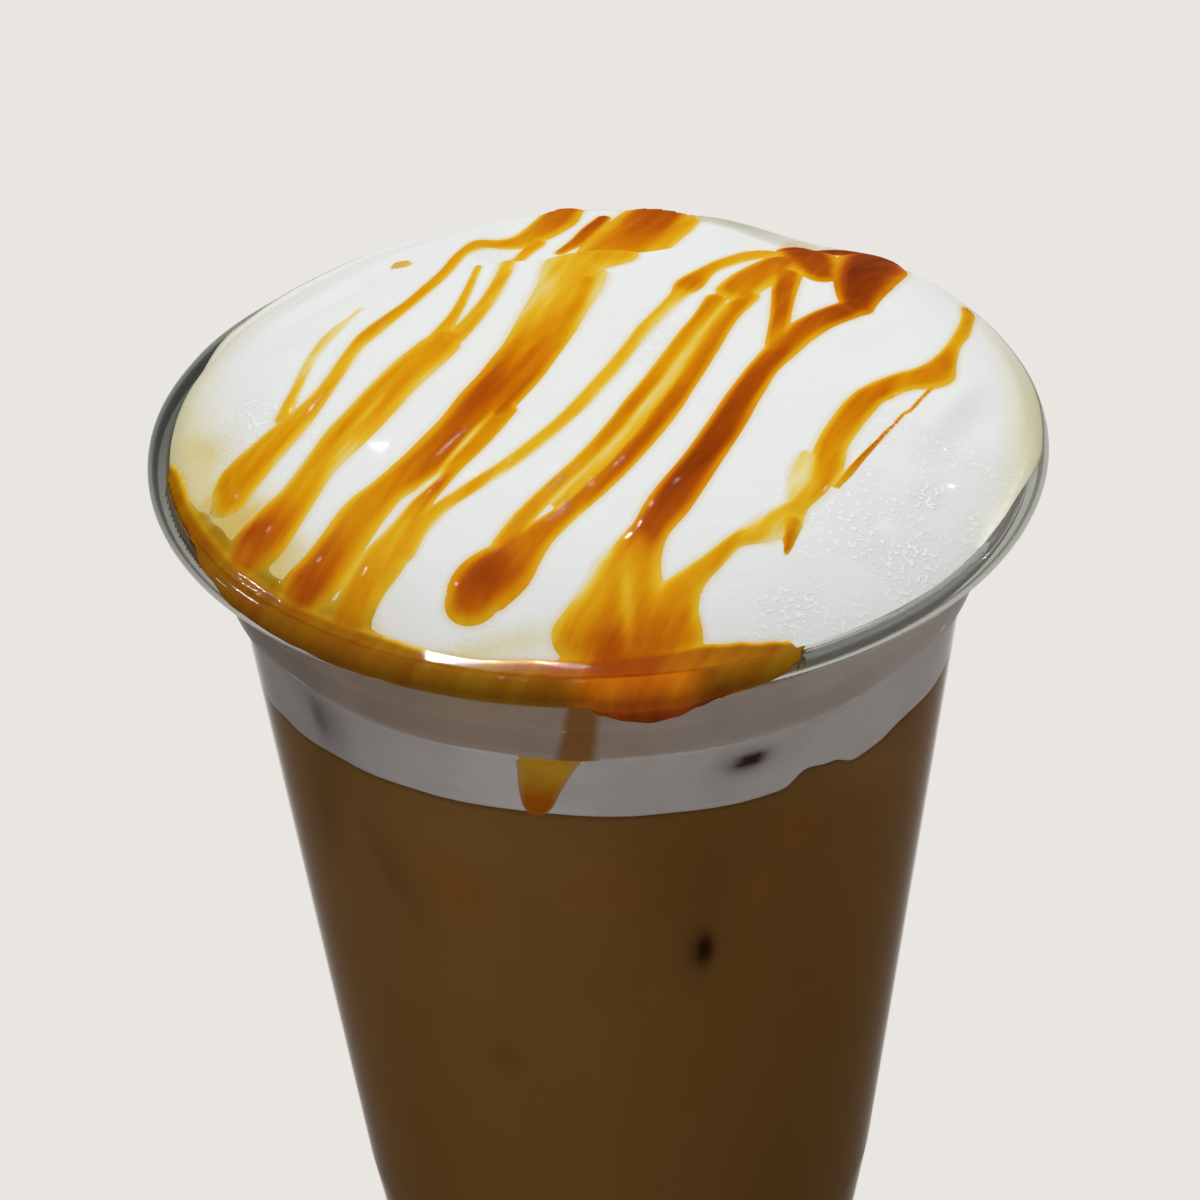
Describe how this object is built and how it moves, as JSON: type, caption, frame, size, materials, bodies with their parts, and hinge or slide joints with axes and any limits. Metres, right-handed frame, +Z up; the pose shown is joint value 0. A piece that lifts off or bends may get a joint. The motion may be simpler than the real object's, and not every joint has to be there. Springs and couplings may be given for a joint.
{
  "type": "iced coffee drink",
  "caption": "Clear takeaway cup of iced coffee topped with domed milk foam and runs of caramel sauce.",
  "frame": {"origin": "middle of the cup's underside, on the surface it stands on", "axes": "+Z up along the cup's axis; -Y is the front, where caramel hangs over the rim"},
  "size_m": [0.098, 0.0987, 0.1285],
  "materials": {
    "cup": "clear gloss",
    "coffee": "liquid",
    "milk_foam": "moist matt",
    "caramel": "wet gloss"
  },
  "bodies": {
    "root": {"cup": "cup", "coffee": "coffee", "milk_foam": "milk_foam", "caramel": "caramel", "caramel_left": "caramel", "caramel_far_left": "caramel", "caramel_back": "caramel", "caramel_drip": "caramel"}
  },
  "joints": []
}
